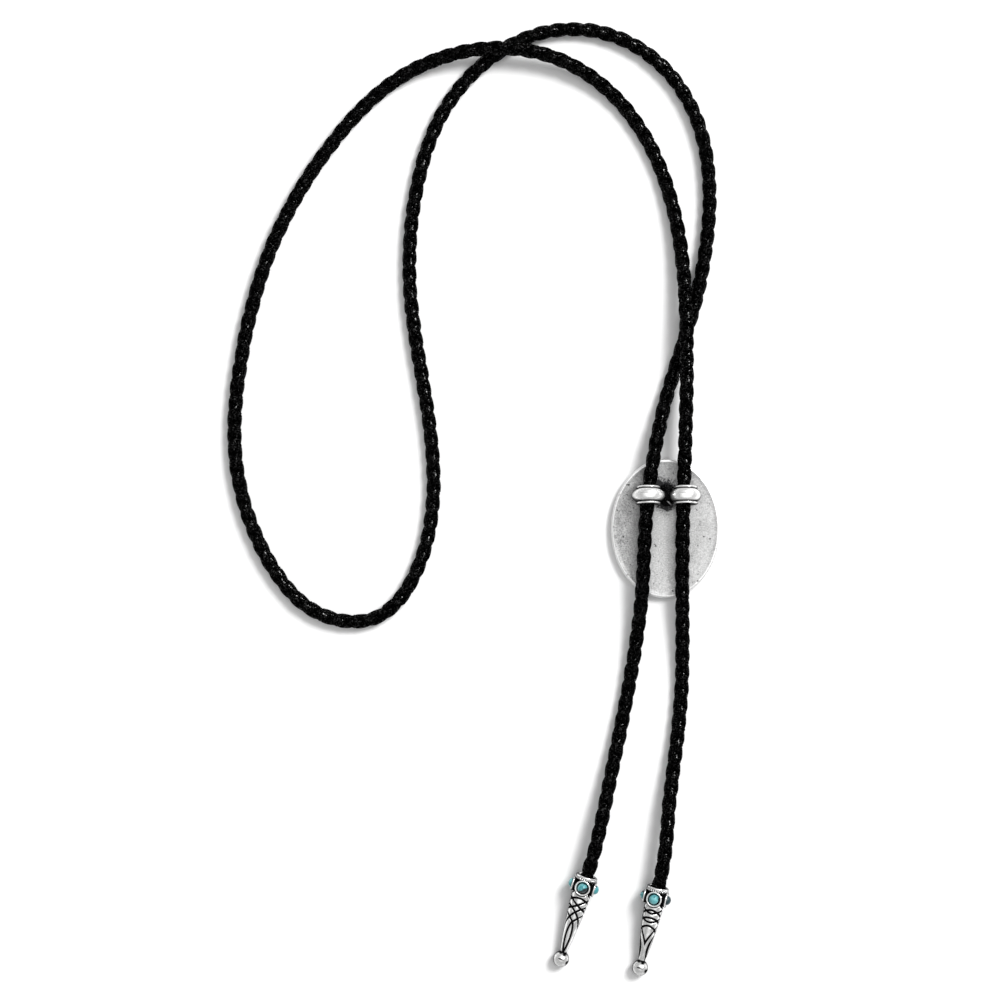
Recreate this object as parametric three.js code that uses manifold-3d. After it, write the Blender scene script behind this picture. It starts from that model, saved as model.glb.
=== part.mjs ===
// A bolo tie lying face down on a table: an oval metal slide with two cord rings soldered to its back,
// one braided leather cord that runs through both rings, and a cast metal tip with four turquoise
// cabochons on each end of the cord. Millimetres, +Z up. The origin is the centre of the slide's front
// face, which lies on the table at z = 0, and +Y points from the slide to the neck loop.
import * as THREE from "three";
import { mergeVertices } from "three/addons/utils/BufferGeometryUtils.js";
import Module from "manifold-3d";

const wasm = await Module();
wasm.setup();

// Driving dimensions
const cordDiameter = 4.0;
const cordSides = 10;
const cordSteps = 80;

const slideWidth = 32.6;
const slideHeight = 41.7;
const slideSegments = 56;

const ringX = { left: -5.4, right: 5.4 };
const ringY = 10.2;
const ringZ = 7.0;
const ringLean = 8; // degrees, the tops of the rings lean towards the neck loop
const ringBoreRadius = 2.75;
const ringTubeRadius = 3.2;
const ringLipRadius = 3.7;
const ringLipThickness = 0.5;
const ringBulgeRadius = 4.85;
const ringBulgeHalfWidth = 2.0;
const ringHalfLength = 2.95;
const ringSegments = 28;

const tipLength = 25.6; // mouth to the centre of the end ball
const tipBallRadius = 2.3;
const tipNeckRadius = 0.95;
const tipBandRadius = 2.8;
const tipBandEnd = 5.5;
const tipRimRadius = 3.35;
const tipRimWire = 0.45;
const tipSocketRadius = cordDiameter / 2 + 0.35;
const tipSocketDepth = 5.2;
const tipSegments = 28;

const stoneRadius = 1.45;
const stoneHeight = 1.65;
const stoneSeat = 3.05; // distance of a stone's base from the tip's axis
const stoneTop = stoneSeat + stoneHeight;
const stoneAlong = 3.05; // distance of a stone's centre from the tip's mouth
const stoneCount = 4;
const stoneGap = 0.3;
const bezelRadius = 2.35;
const bezelTop = 3.45;
const bezelRoot = 1.4;

// Each tip lies on its lowest stone and its ball, so its axis rises towards the mouth.
const tipRise = Math.asin((stoneTop - tipBallRadius) / (tipLength - stoneAlong));
const tips = {
  left: { mouthX: -23.7, mouthY: -104.1, heading: 16.4, roll: -6 },
  right: { mouthX: -2.4, mouthY: -107.4, heading: 11.7, roll: -11 },
};

// The cord's centre line between its two ends, from the left tip through the left ring, round the neck
// loop and back through the right ring to the right tip.
const route = [
  // x, y, z
  [-17.9, -81.2, 4.6],
  [-14.9, -67.0, 2.9],
  [-11.2, -48.4, 2.05],
  [-7.1, -18.4, 5.0],
  [-5.4, 10.2, 7.0],
  [-3.4, 22.9, 5.5],
  [-0.1, 37.9, 2.6],
  [8.3, 65.5, 2.05],
  [13.1, 94.0, 2.05],
  [10.2, 120.4, 2.05],
  [-1.6, 139.3, 2.05],
  [-19.6, 148.9, 2.05],
  [-36.1, 148.9, 2.05],
  [-52.0, 141.4, 2.05],
  [-66.3, 125.5, 2.05],
  [-74.7, 101.5, 2.05],
  [-76.6, 71.5, 2.05],
  [-72.1, 40.0, 2.05],
  [-69.6, 11.5, 2.05],
  [-73.9, -10.9, 2.05],
  [-87.1, -26.8, 2.05],
  [-103.6, -25.6, 2.05],
  [-119.2, -9.4, 2.05],
  [-128.7, 19.0, 2.05],
  [-127.3, 50.5, 2.05],
  [-117.9, 85.0, 2.05],
  [-99.1, 116.7, 2.05],
  [-82.6, 133.2, 2.3],
  [-65.5, 141.4, 4.8],
  [-48.1, 143.5, 6.5],
  [-31.7, 140.3, 4.8],
  [-15.4, 129.7, 2.3],
  [-1.3, 107.5, 2.05],
  [4.6, 83.4, 3.8],
  [6.1, 59.3, 6.4],
  [5.2, 10.2, 7.0],
  [4.9, -18.9, 5.0],
  [4.8, -48.4, 2.05],
  [3.0, -67.0, 2.9],
  [1.1, -81.8, 4.6],
];
const cordLead = 8; // the cord runs straight for this far outside each mouth
const cordInside = tipSocketDepth - 0.5;

// A closed three.js geometry as a manifold-3d solid, and back again
function solidOf(geometry) {
  const bare = geometry.clone();
  bare.deleteAttribute("normal");
  bare.deleteAttribute("uv");
  const merged = mergeVertices(bare, 1e-4);
  return new wasm.Manifold(
    new wasm.Mesh({
      numProp: 3,
      vertProperties: new Float32Array(merged.attributes.position.array),
      triVerts: new Uint32Array(merged.index.array),
    }),
  );
}

function geometryOf(solid) {
  const mesh = solid.getMesh();
  const geometry = new THREE.BufferGeometry();
  geometry.setAttribute("position", new THREE.BufferAttribute(mesh.vertProperties, 3));
  geometry.setIndex(new THREE.BufferAttribute(mesh.triVerts, 1));
  geometry.computeVertexNormals();
  return geometry;
}

function unionOf(solids) {
  return solids.reduce((whole, next) => whole.add(next));
}

function profilePoints(rows) {
  return rows.map(([radius, along]) => new THREE.Vector2(radius, along));
}

// Points of an arc in a profile, given its centre, its two radii and its start and end in degrees
function arc(centreRadius, centreAlong, acrossRadius, alongRadius, from, to, steps) {
  return Array.from({ length: steps + 1 }, (_, i) => {
    const angle = THREE.MathUtils.degToRad(from + ((to - from) * i) / steps);
    return [
      centreRadius + acrossRadius * Math.cos(angle),
      centreAlong + alongRadius * Math.sin(angle),
    ];
  });
}

// Slide plate: an oval turned from a round profile and stretched along Y. Its front is flat, its edge
// rounded, and its back slightly dished inside the rim.
function plateSolid() {
  const edge = slideWidth / 2;
  const profile = [
    // radius, height
    [0, 0],
    [edge - 1.7, 0],
    [edge - 0.8, 0.3],
    [edge - 0.2, 0.85],
    [edge, 1.45],
    [edge - 0.1, 2.1],
    [edge - 0.45, 2.5],
    [edge - 1.0, 2.6],
    [edge - 2.6, 2.52],
    [edge * 0.55, 2.38],
    [edge * 0.25, 2.3],
    [0, 2.3],
  ];
  const geometry = new THREE.LatheGeometry(profilePoints(profile), slideSegments);
  geometry.rotateX(Math.PI / 2);
  geometry.scale(1, slideHeight / slideWidth, 1);
  return solidOf(geometry);
}

// Cord ring: a short tube with a lip at each end and a fat half-round bulge between them, turned about Y
function ringSolid(x) {
  const lipInner = ringHalfLength - ringLipThickness;
  const lip = (side) => [
    [ringLipRadius, side * ringHalfLength],
    [ringLipRadius, side * lipInner],
    [ringTubeRadius, side * (lipInner - 0.15)],
  ];
  const profile = [
    [ringBoreRadius, -ringHalfLength],
    ...lip(-1),
    ...arc(ringTubeRadius, 0, ringBulgeRadius - ringTubeRadius, ringBulgeHalfWidth, -90, 90, 10),
    ...lip(1).reverse(),
    [ringBoreRadius, ringHalfLength],
    [ringBoreRadius, -ringHalfLength],
  ];
  return solidOf(atRing(new THREE.LatheGeometry(profilePoints(profile), ringSegments), x));
}

// Leans a shape on the Y axis as the rings lean, and moves it to a ring's centre
function atRing(geometry, x) {
  geometry.rotateX(-THREE.MathUtils.degToRad(ringLean));
  geometry.translate(x, ringY, ringZ);
  return geometry;
}

// Solder under each ring, and the low web that joins the two rings between them
function solderSolids() {
  const top = 2.2;
  const pad = (x, width, length, height) => {
    const geometry = new THREE.CylinderGeometry(0.7, 1, height, 20);
    geometry.rotateX(Math.PI / 2);
    geometry.scale(width / 2, length / 2, 1);
    geometry.translate(x, ringY, top + height / 2);
    return solidOf(geometry);
  };
  const middle = (ringX.left + ringX.right) / 2;
  return [pad(ringX.left, 5.4, 4.6, 0.9), pad(ringX.right, 5.4, 4.6, 0.9), pad(middle, 5.0, 5.0, 2.6)];
}

// The bores stay open where the solder reaches up to them
function boreSolid(x) {
  const bore = new THREE.CylinderGeometry(ringBoreRadius, ringBoreRadius, 4 * ringHalfLength, ringSegments);
  return solidOf(atRing(bore, x));
}

function slideGeometry() {
  const metal = unionOf([
    plateSolid(),
    ringSolid(ringX.left),
    ringSolid(ringX.right),
    ...solderSolids(),
  ]);
  return geometryOf(metal.subtract(boreSolid(ringX.left)).subtract(boreSolid(ringX.right)));
}

// Tip casting, turned about Y with its mouth at y = 0 and its ball at y = -tipLength: a rope-edged rim,
// a straight band that carries the bezels, a tapering body and an end ball.
function tipGeometry() {
  const bodyRows = [
    // radius, distance from the mouth
    [2.6, 7.6],
    [2.45, 9.4],
    [2.2, 12.0],
    [1.9, 15.5],
    [1.5, 19.0],
    [1.15, 21.6],
    [tipNeckRadius, 23.0],
  ];
  const ballStart = 180 - THREE.MathUtils.radToDeg(Math.asin(tipNeckRadius / tipBallRadius));
  const ball = Array.from({ length: 9 }, (_, i) => {
    const angle = THREE.MathUtils.degToRad((ballStart * i) / 8);
    return [tipBallRadius * Math.sin(angle), -tipLength - tipBallRadius * Math.cos(angle)];
  });
  const profile = [
    ...ball,
    ...bodyRows.reverse().map(([radius, along]) => [radius, -along]),
    [tipBandRadius - 0.12, -tipBandEnd - 0.3],
    [tipBandRadius, -tipBandEnd],
    [tipBandRadius, -2 * tipRimWire],
    ...arc(tipRimRadius - tipRimWire, -tipRimWire, tipRimWire, tipRimWire, -60, 90, 4),
    [0, 0],
  ];
  const body = solidOf(new THREE.LatheGeometry(profilePoints(profile), tipSegments));

  const socket = new THREE.CylinderGeometry(tipSocketRadius, tipSocketRadius, 2 * tipSocketDepth, tipSegments);
  const bezels = [];
  const seats = [];
  for (let i = 0; i < stoneCount; i += 1) {
    bezels.push(radialCylinder(bezelRadius, bezelRoot, bezelTop, 24, i));
    seats.push(radialCylinder(stoneRadius + stoneGap, stoneSeat - stoneGap, bezelTop + 1, 20, i));
  }
  const metal = unionOf([body, ...bezels]).subtract(solidOf(socket));
  return geometryOf(seats.reduce((whole, seat) => whole.subtract(seat), metal));
}

// A cylinder that stands out from the tip's axis at stone number i
function radialCylinder(radius, from, to, segments, i) {
  const geometry = new THREE.CylinderGeometry(radius, radius, to - from, segments);
  geometry.rotateX(Math.PI / 2);
  geometry.translate(0, -stoneAlong, (from + to) / 2);
  geometry.rotateY((i * 2 * Math.PI) / stoneCount);
  return solidOf(geometry);
}

// Cabochon: a round stone with a straight girdle and a domed top, turned about Z
function stoneGeometry() {
  const girdle = 0.35;
  const profile = [
    [0, 0],
    [stoneRadius, 0],
    ...arc(0, girdle, stoneRadius, stoneHeight - girdle, 0, 90, 5),
  ];
  const geometry = new THREE.LatheGeometry(profilePoints(profile), 16);
  geometry.rotateX(Math.PI / 2);
  return geometry;
}

// The cord's curve: a natural cubic spline through its points, with chord length as the parameter, that
// stays on the table where it would dip below it
class CordRoute extends THREE.Curve {
  constructor(points) {
    super();
    this.points = points;
    this.arcLengthDivisions = 4000;
    this.knots = [0];
    for (let i = 1; i < points.length; i += 1) {
      this.knots.push(this.knots[i - 1] + points[i].distanceTo(points[i - 1]));
    }
    this.bends = this.secondDerivatives();
  }

  // Solves the tridiagonal system for the second derivatives, which are zero at both ends
  secondDerivatives() {
    const { points, knots } = this;
    const last = points.length - 1;
    const step = (i) => knots[i + 1] - knots[i];
    const slope = (i) => points[i + 1].clone().sub(points[i]).divideScalar(step(i));
    const factors = [0];
    const partial = [new THREE.Vector3()];
    for (let i = 1; i < last; i += 1) {
      const pivot = 2 * (step(i - 1) + step(i)) - step(i - 1) * factors[i - 1];
      const right = slope(i).sub(slope(i - 1)).multiplyScalar(6);
      factors.push(step(i) / pivot);
      partial.push(right.addScaledVector(partial[i - 1], -step(i - 1)).divideScalar(pivot));
    }
    const bends = points.map(() => new THREE.Vector3());
    for (let i = last - 1; i > 0; i -= 1) {
      bends[i].copy(partial[i]).addScaledVector(bends[i + 1], -factors[i]);
    }
    return bends;
  }

  getPoint(share, target = new THREE.Vector3()) {
    const { points, knots, bends } = this;
    const at = share * knots[knots.length - 1];
    let i = 0;
    while (i < points.length - 2 && knots[i + 1] < at) i += 1;
    const step = knots[i + 1] - knots[i];
    const b = (at - knots[i]) / step;
    const a = 1 - b;
    target
      .copy(points[i])
      .multiplyScalar(a)
      .addScaledVector(points[i + 1], b)
      .addScaledVector(bends[i], ((a ** 3 - a) * step ** 2) / 6)
      .addScaledVector(bends[i + 1], ((b ** 3 - b) * step ** 2) / 6);
    target.z = Math.max(target.z, cordDiameter / 2);
    return target;
  }
}

// The group that carries a tip: its +Y runs out of the mouth along the cord
function tipGroup({ mouthX, mouthY, heading, roll }) {
  const group = new THREE.Group();
  group.rotation.order = "ZXY";
  group.rotation.z = -THREE.MathUtils.degToRad(heading);
  group.rotation.x = tipRise;
  group.rotation.y = THREE.MathUtils.degToRad(roll);
  group.position.set(mouthX, mouthY, tipBallRadius + tipLength * Math.sin(tipRise));
  group.updateMatrixWorld(true);
  return group;
}

function cordGeometry(groups) {
  const inTip = (group, along) => group.localToWorld(new THREE.Vector3(0, along, 0));
  const points = [
    inTip(groups.left, -cordInside),
    inTip(groups.left, cordLead),
    ...route.map(([x, y, z]) => new THREE.Vector3(x, y, z)),
    inTip(groups.right, cordLead),
    inTip(groups.right, -cordInside),
  ];
  const corners = Array.from({ length: cordSides }, (_, i) => {
    const angle = (i * 2 * Math.PI) / cordSides;
    return new THREE.Vector2(Math.cos(angle), Math.sin(angle)).multiplyScalar(cordDiameter / 2);
  });
  return new THREE.ExtrudeGeometry(new THREE.Shape(corners), {
    steps: cordSteps,
    bevelEnabled: false,
    extrudePath: new CordRoute(points),
  });
}

// Materials
const silver = new THREE.MeshStandardMaterial({ color: 0xc9c9c6, metalness: 1, roughness: 0.38 });
const castSilver = new THREE.MeshStandardMaterial({ color: 0xbdbdb9, metalness: 1, roughness: 0.3 });
const turquoise = new THREE.MeshStandardMaterial({ color: 0x5fb7bd, metalness: 0, roughness: 0.35 });
const leather = new THREE.MeshStandardMaterial({ color: 0x0e0d0d, metalness: 0, roughness: 0.5 });

function addMesh(parent, name, geometry, material) {
  const mesh = new THREE.Mesh(geometry, material);
  mesh.name = name;
  parent.add(mesh);
  return mesh;
}

// Assembly
const boloTie = new THREE.Group();
addMesh(boloTie, "slide", slideGeometry(), silver);

const castTip = tipGeometry();
const groups = {};
for (const [side, place] of Object.entries(tips)) {
  const group = tipGroup(place);
  groups[side] = group;
  boloTie.add(group);
  addMesh(group, `tip_${side}`, castTip, castSilver);
  for (let i = 0; i < stoneCount; i += 1) {
    const turn = new THREE.Group();
    turn.rotation.y = (i * 2 * Math.PI) / stoneCount;
    group.add(turn);
    const stone = addMesh(turn, `stone_${side}_${i + 1}`, stoneGeometry(), turquoise);
    stone.position.set(0, -stoneAlong, stoneSeat);
  }
}
addMesh(boloTie, "cord", cordGeometry(groups), leather);

export default boloTie;
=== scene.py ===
# A bolo tie lying face down on a white table: the looks of its slide, its braided cord, its two cast
# tips and their turquoise stones. Metres, +Z up, the origin on the table under the slide's middle.
import math

import bpy
import numpy as np
from mathutils import Matrix, Vector


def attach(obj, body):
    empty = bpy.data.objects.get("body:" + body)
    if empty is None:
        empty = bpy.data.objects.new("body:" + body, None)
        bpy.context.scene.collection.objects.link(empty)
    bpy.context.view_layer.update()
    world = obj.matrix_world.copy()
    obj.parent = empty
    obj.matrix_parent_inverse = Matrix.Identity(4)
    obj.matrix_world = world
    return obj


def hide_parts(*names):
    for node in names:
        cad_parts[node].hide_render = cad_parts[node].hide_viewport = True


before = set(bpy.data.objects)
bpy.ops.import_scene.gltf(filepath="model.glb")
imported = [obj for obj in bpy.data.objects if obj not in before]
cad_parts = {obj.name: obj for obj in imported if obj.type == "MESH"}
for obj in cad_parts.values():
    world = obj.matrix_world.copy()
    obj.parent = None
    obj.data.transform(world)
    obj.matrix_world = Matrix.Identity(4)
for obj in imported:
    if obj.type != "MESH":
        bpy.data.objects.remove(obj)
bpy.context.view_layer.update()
mm = 0.001
rng = np.random.default_rng(7)
turn = 2 * math.pi

# Camera, in mm: straight above the middle of the picture, which is as wide as seen at the height seenAt
view = {"x": -49.62, "y": 8.55, "height": 1000, "seen": 300, "seenAt": 2, "sensor": 36}

camera = bpy.data.objects.new("camera", bpy.data.cameras.new("camera"))
camera.location = (view["x"] * mm, view["y"] * mm, view["height"] * mm)
camera.data.sensor_width = view["sensor"]
camera.data.lens = view["sensor"] * (view["height"] - view["seenAt"]) / view["seen"]
camera.data.clip_start = 0.01
camera.data.clip_end = 20
bpy.context.scene.collection.objects.link(camera)
bpy.context.scene.camera = camera


# Smooth value between 0 and 1 as x goes from low to high
def smoothStep(x, low, high):
    t = np.clip((x - low) / (high - low), 0, 1)
    return t * t * (3 - 2 * t)


# Natural cubic spline: the second derivatives solve one linear system and are zero at both ends
def naturalSpline(knots, points, at):
    n = len(knots)
    h = np.diff(knots)
    system = np.eye(n)
    right = np.zeros_like(points)
    inner = np.arange(1, n - 1)
    system[inner, inner - 1] = h[:-1]
    system[inner, inner] = 2 * (h[:-1] + h[1:])
    system[inner, inner + 1] = h[1:]
    slopes = np.diff(points, axis=0) / h[:, None]
    right[1:-1] = 6 * (slopes[1:] - slopes[:-1])
    bends = np.linalg.solve(system, right)
    i = np.clip(np.searchsorted(knots, at, side="right") - 1, 0, n - 2)
    step = h[i][:, None]
    b = ((at - knots[i]) / h[i])[:, None]
    a = 1 - b
    curve = a * points[i] + b * points[i + 1]
    return curve + ((a ** 3 - a) * bends[i] + (b ** 3 - b) * bends[i + 1]) * step ** 2 / 6


# Distance along a row of points
def along(points):
    return np.concatenate([[0], np.cumsum(np.linalg.norm(np.diff(points, axis=0), axis=1))])


# A round curve through a few (radius, height, dark) rows, with count rows in all. Dark goes in straight
# lines, so that it never passes the values given.
def roundProfile(rows, count):
    rows = np.asarray(rows, float)
    knots = along(rows[:, :2])
    at = np.linspace(0, knots[-1], count)
    curve = naturalSpline(knots, rows, at)
    curve[:, 0] = np.maximum(curve[:, 0], 0)
    curve[:, 2] = np.interp(at, knots, rows[:, 2])
    curve[0], curve[-1] = rows[0], rows[-1]
    return curve


# Slow random wobble of about the given size along x: a few sines of random phase
def wobble(x, size, length, count=4):
    waves = np.arange(1, count + 1)[:, None] * turn / length
    phases = rng.uniform(0, turn, (count, 1))
    return size * np.mean(np.sin(waves * x.ravel()[None, :] + phases), axis=0).reshape(x.shape)


# Quads of a grid with rows x cols points, closed from its last column to its first, and from its last
# row to its first where asked
def gridFaces(rows, cols, closeRows=False):
    r = np.arange(rows if closeRows else rows - 1)[:, None]
    c = np.arange(cols)[None, :]
    nextRow = (r + 1) % rows * cols
    nextCol = (c + 1) % cols
    quads = np.stack([r * cols + c, r * cols + nextCol, nextRow + nextCol, nextRow + c], axis=-1)
    return quads.reshape(-1, 4)


# Rows of closed rings (rows, cols, 3) as one skin, with a fan to a pole at each end
def poledSkin(rings, firstPole, lastPole):
    rows, cols = rings.shape[:2]
    here = np.arange(cols)
    there = (here + 1) % cols
    last = (rows - 1) * cols
    low, high = rows * cols, rows * cols + 1
    fanLow = np.stack([np.full(cols, low), there, here], axis=-1)
    fanHigh = np.stack([np.full(cols, high), last + here, last + there], axis=-1)
    points = np.concatenate([rings.reshape(-1, 3), [firstPole], [lastPole]])
    return points, [gridFaces(rows, cols), fanLow, fanHigh]


# A profile of (radius, height, dark) rows turned round Z: it starts and ends on the axis, going up
def turned(profile, cols):
    angle = np.linspace(0, turn, cols, endpoint=False)[None, :]
    r, z, dark = (profile[1:-1, k][:, None] for k in range(3))
    rings = np.stack([r * np.cos(angle), r * np.sin(angle), z + 0 * angle], axis=-1)
    points, faces = poledSkin(rings, [0, 0, profile[0, 1]], [0, 0, profile[-1, 1]])
    shades = np.concatenate([(dark + 0 * angle).ravel(), [profile[0, 2], profile[-1, 2]]])
    return points, faces, shades


# A round tube along a path of (rows, 3) points, with flat ends closed by fans. No path runs along offPath.
def wire(path, radius, cols=8):
    offPath = [0.31, 0.2, 0.93]
    path = np.asarray(path, float)
    tangent = np.gradient(path, axis=0)
    tangent /= np.linalg.norm(tangent, axis=1)[:, None]
    side = np.cross(tangent, offPath)
    side /= np.linalg.norm(side, axis=1)[:, None]
    up = np.cross(side, tangent)
    angle = np.linspace(0, turn, cols, endpoint=False)[None, :, None]
    rings = path[:, None] + radius * (np.cos(angle) * side[:, None] - np.sin(angle) * up[:, None])
    points, faces = poledSkin(rings, path[0], path[-1])
    return points, faces, np.zeros(len(points))


# True where a closed skin's faces point inwards: the sum of its signed pyramids is negative
def insideOut(points, faces):
    volume = 0
    for group in faces:
        for k in range(1, group.shape[1] - 1):
            a, b, c = (points[group[:, n]] for n in (0, k, k + 1))
            volume += np.einsum("ij,ij->i", a, np.cross(b, c)).sum()
    return volume < 0


# One smooth object from (points in mm, faces, dark) parts, with no point below the table and with two
# point attributes: how dark it is and how steep, from 0 where it faces up to 1 where it faces sideways
# or down
def makePiece(name, parts, material):
    points = np.concatenate([part[0] for part in parts]) * mm
    points[:, 2] = np.maximum(points[:, 2], 0)
    shades = np.concatenate([part[2] for part in parts])
    counts, loops, offset = [], [], 0
    for part in parts:
        flip = -1 if insideOut(part[0] - part[0].mean(axis=0), part[1]) else 1
        for faces in part[1]:
            counts.append(np.full(len(faces), faces.shape[1]))
            loops.append((faces[:, ::flip] + offset).ravel())
        offset += len(part[0])
    counts, loops = np.concatenate(counts), np.concatenate(loops)
    mesh = bpy.data.meshes.new(name)
    mesh.vertices.add(len(points))
    mesh.vertices.foreach_set("co", points.astype(np.float32).ravel())
    mesh.loops.add(len(loops))
    mesh.loops.foreach_set("vertex_index", loops.astype(np.int32))
    mesh.polygons.add(len(counts))
    mesh.polygons.foreach_set("loop_start", (np.cumsum(counts) - counts).astype(np.int32))
    mesh.polygons.foreach_set("use_smooth", np.ones(len(counts), bool))
    mesh.attributes.new("dark", "FLOAT", "POINT").data.foreach_set("value", shades.astype(np.float32))
    mesh.update(calc_edges=True)
    normals = np.empty(len(points) * 3, np.float32)
    mesh.vertex_normals.foreach_get("vector", normals)
    steepness = np.clip(1 - normals[2::3], 0, 1)
    mesh.attributes.new("steep", "FLOAT", "POINT").data.foreach_set("value", steepness)
    mesh.materials.append(material)
    piece = bpy.data.objects.new(name, mesh)
    bpy.context.scene.collection.objects.link(piece)
    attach(piece, "root")
    return piece


# A shader value that can be used in formulas: each operation adds a Math node
class Value:
    def __init__(self, finish, output):
        self.finish = finish
        self.output = output

    def calc(self, operation, first, second=0.0):
        return self.finish.node("ShaderNodeMath", {"operation": operation}, {0: first, 1: second})

    def __add__(self, other):
        return self.calc("ADD", self, other)

    def __radd__(self, other):
        return self.calc("ADD", other, self)

    def __sub__(self, other):
        return self.calc("SUBTRACT", self, other)

    def __rsub__(self, other):
        return self.calc("SUBTRACT", other, self)

    def __mul__(self, other):
        return self.calc("MULTIPLY", self, other)

    def __rmul__(self, other):
        return self.calc("MULTIPLY", other, self)

    def __truediv__(self, other):
        return self.calc("DIVIDE", self, other)

    def __pow__(self, other):
        return self.calc("POWER", self, other)

    def clip(self):
        return self.finish.node("ShaderNodeClamp", {}, {0: self})


# A node tree and the one way to add a node to it: settings, then values or links of its sockets
class Nodes:
    def __init__(self, tree, coordinates):
        self.tree = tree
        self.place = self.node("ShaderNodeTexCoord", {}, {}, coordinates)

    def node(self, kind, settings, sockets, output=0):
        made = self.tree.nodes.new(kind)
        for key, value in settings.items():
            setattr(made, key, value)
        for key, value in sockets.items():
            if isinstance(value, Value):
                self.tree.links.new(value.output, made.inputs[key])
            else:
                made.inputs[key].default_value = value
        return Value(self, made.outputs[output])

    # From 0 to 1 as the value goes from low to high
    def between(self, value, low, high):
        return self.node("ShaderNodeMapRange", {"interpolation_type": "SMOOTHSTEP"}, {
            "Value": value, "From Min": low, "From Max": high})


# A material with a Principled shader and the nodes that feed it
class Finish(Nodes):
    def __init__(self, name, **fixed):
        self.material = bpy.data.materials.new(name)
        self.material.use_nodes = True
        super().__init__(self.material.node_tree, "Object")
        self.shader = self.tree.nodes["Principled BSDF"]
        for key, value in fixed.items():
            self.shader.inputs[key.replace("_", " ")].default_value = value

    def noise(self, scale, detail=3.0, roughness=0.55, distortion=0.0, place=None):
        return self.node("ShaderNodeTexNoise", {}, {
            "Vector": place or self.place, "Scale": scale, "Detail": detail,
            "Roughness": roughness, "Distortion": distortion})

    # Distance to the edge of irregular cells
    def cells(self, scale):
        return self.node("ShaderNodeTexVoronoi", {"feature": "DISTANCE_TO_EDGE"}, {
            "Vector": self.place, "Scale": scale})

    # From the first colour to the second: they are sockets 6 and 7 of a Mix node, and its output is 2
    def mix(self, factor, first, second):
        colors = {key: value if isinstance(value, Value) else (*value, 1)
                  for key, value in {6: first, 7: second}.items()}
        return self.node("ShaderNodeMix", {"data_type": "RGBA"}, {0: factor, **colors}, 2)

    def stretched(self, scale, place=None):
        return self.node("ShaderNodeMapping", {}, {"Vector": place or self.place, "Scale": scale})

    def attribute(self, name):
        return self.node("ShaderNodeAttribute", {"attribute_name": name}, {}, "Fac")

    def bump(self, height, distance, strength=1.0):
        return self.node("ShaderNodeBump", {}, {
            "Height": height, "Distance": distance, "Strength": strength})

    # Links values to the shader's sockets and gives the finished material
    def feed(self, **sockets):
        for key, value in sockets.items():
            self.tree.links.new(value.output, self.shader.inputs[key.replace("_", " ")])
        return self.material


# Braided cord. Its route, in metres, runs from the left tip through the left ring, round the neck loop
# and back through the right ring to the right tip.
route = [
    (-0.0179, -0.0812, 0.0046), (-0.0149, -0.0670, 0.0029), (-0.0112, -0.0484, 0.00205),
    (-0.0071, -0.0184, 0.0050), (-0.0054, 0.0102, 0.0070), (-0.0034, 0.0229, 0.0055),
    (-0.0001, 0.0379, 0.0026), (0.0083, 0.0655, 0.00205), (0.0131, 0.0940, 0.00205),
    (0.0102, 0.1204, 0.00205), (-0.0016, 0.1393, 0.00205), (-0.0196, 0.1489, 0.00205),
    (-0.0361, 0.1489, 0.00205), (-0.0520, 0.1414, 0.00205), (-0.0663, 0.1255, 0.00205),
    (-0.0747, 0.1015, 0.00205), (-0.0766, 0.0715, 0.00205), (-0.0721, 0.0400, 0.00205),
    (-0.0696, 0.0115, 0.00205), (-0.0739, -0.0109, 0.00205), (-0.0871, -0.0268, 0.00205),
    (-0.1036, -0.0256, 0.00205), (-0.1192, -0.0094, 0.00205), (-0.1287, 0.0190, 0.00205),
    (-0.1273, 0.0505, 0.00205), (-0.1179, 0.0850, 0.00205), (-0.0991, 0.1167, 0.00205),
    (-0.0826, 0.1332, 0.0023), (-0.0655, 0.1414, 0.0048), (-0.0481, 0.1435, 0.0065),
    (-0.0317, 0.1403, 0.0048), (-0.0154, 0.1297, 0.0023), (-0.0013, 0.1075, 0.00205),
    (0.0046, 0.0834, 0.0038), (0.0061, 0.0593, 0.0064), (0.0052, 0.0102, 0.0070),
    (0.0049, -0.0189, 0.0050), (0.0048, -0.0484, 0.00205), (0.0030, -0.0670, 0.0029),
    (0.0011, -0.0818, 0.0046),
]

# Tips, in mm and degrees. Each side has the place of its mouth, its turn about Z and about its own axis,
# how far round its engraving starts, how wide its leaves are, how thin their lines are and how far its
# lower half is stretched. The tip rests on a ball of restRadius.
tip = {
    "length": 25.6, "restRadius": 2.3, "ballRadius": 2.42, "socketRadius": 2.3, "socketDepth": 5.1,
    "stones": 4, "stoneRadius": 1.45, "stoneAlong": 3.05, "stoneSeat": 3.05, "stoneTop": 4.7,
    "left": {"x": -23.7, "y": -104.1, "heading": 17.0, "roll": -6,
             "engraved": 90, "leaf": 0.86, "leafLine": 1.0, "stretch": 1.025},
    "right": {"x": -2.4, "y": -107.4, "heading": 12.2, "roll": -11,
              "engraved": 0, "leaf": 1.4, "leafLine": 0.7, "stretch": 0.976},
}
tipRise = math.asin((tip["stoneTop"] - tip["restRadius"]) / (tip["length"] - tip["stoneAlong"]))


# The matrix, in mm, that takes a tip from its own axes, mouth at 0 and ball at -Y, to its place
def tipMatrix(side):
    place = tip[side]
    height = tip["restRadius"] + tip["length"] * math.sin(tipRise)
    turns = (Matrix.Rotation(-math.radians(place["heading"]), 4, "Z")
             @ Matrix.Rotation(tipRise, 4, "X")
             @ Matrix.Rotation(math.radians(place["roll"]), 4, "Y"))
    return Matrix.Translation((place["x"], place["y"], height)) @ turns


# A (points, faces, dark) part moved by a matrix
def moved(matrix, part):
    m = np.array(matrix)
    return (part[0] @ m[:3, :3].T + m[:3, 3], *part[1:])


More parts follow.
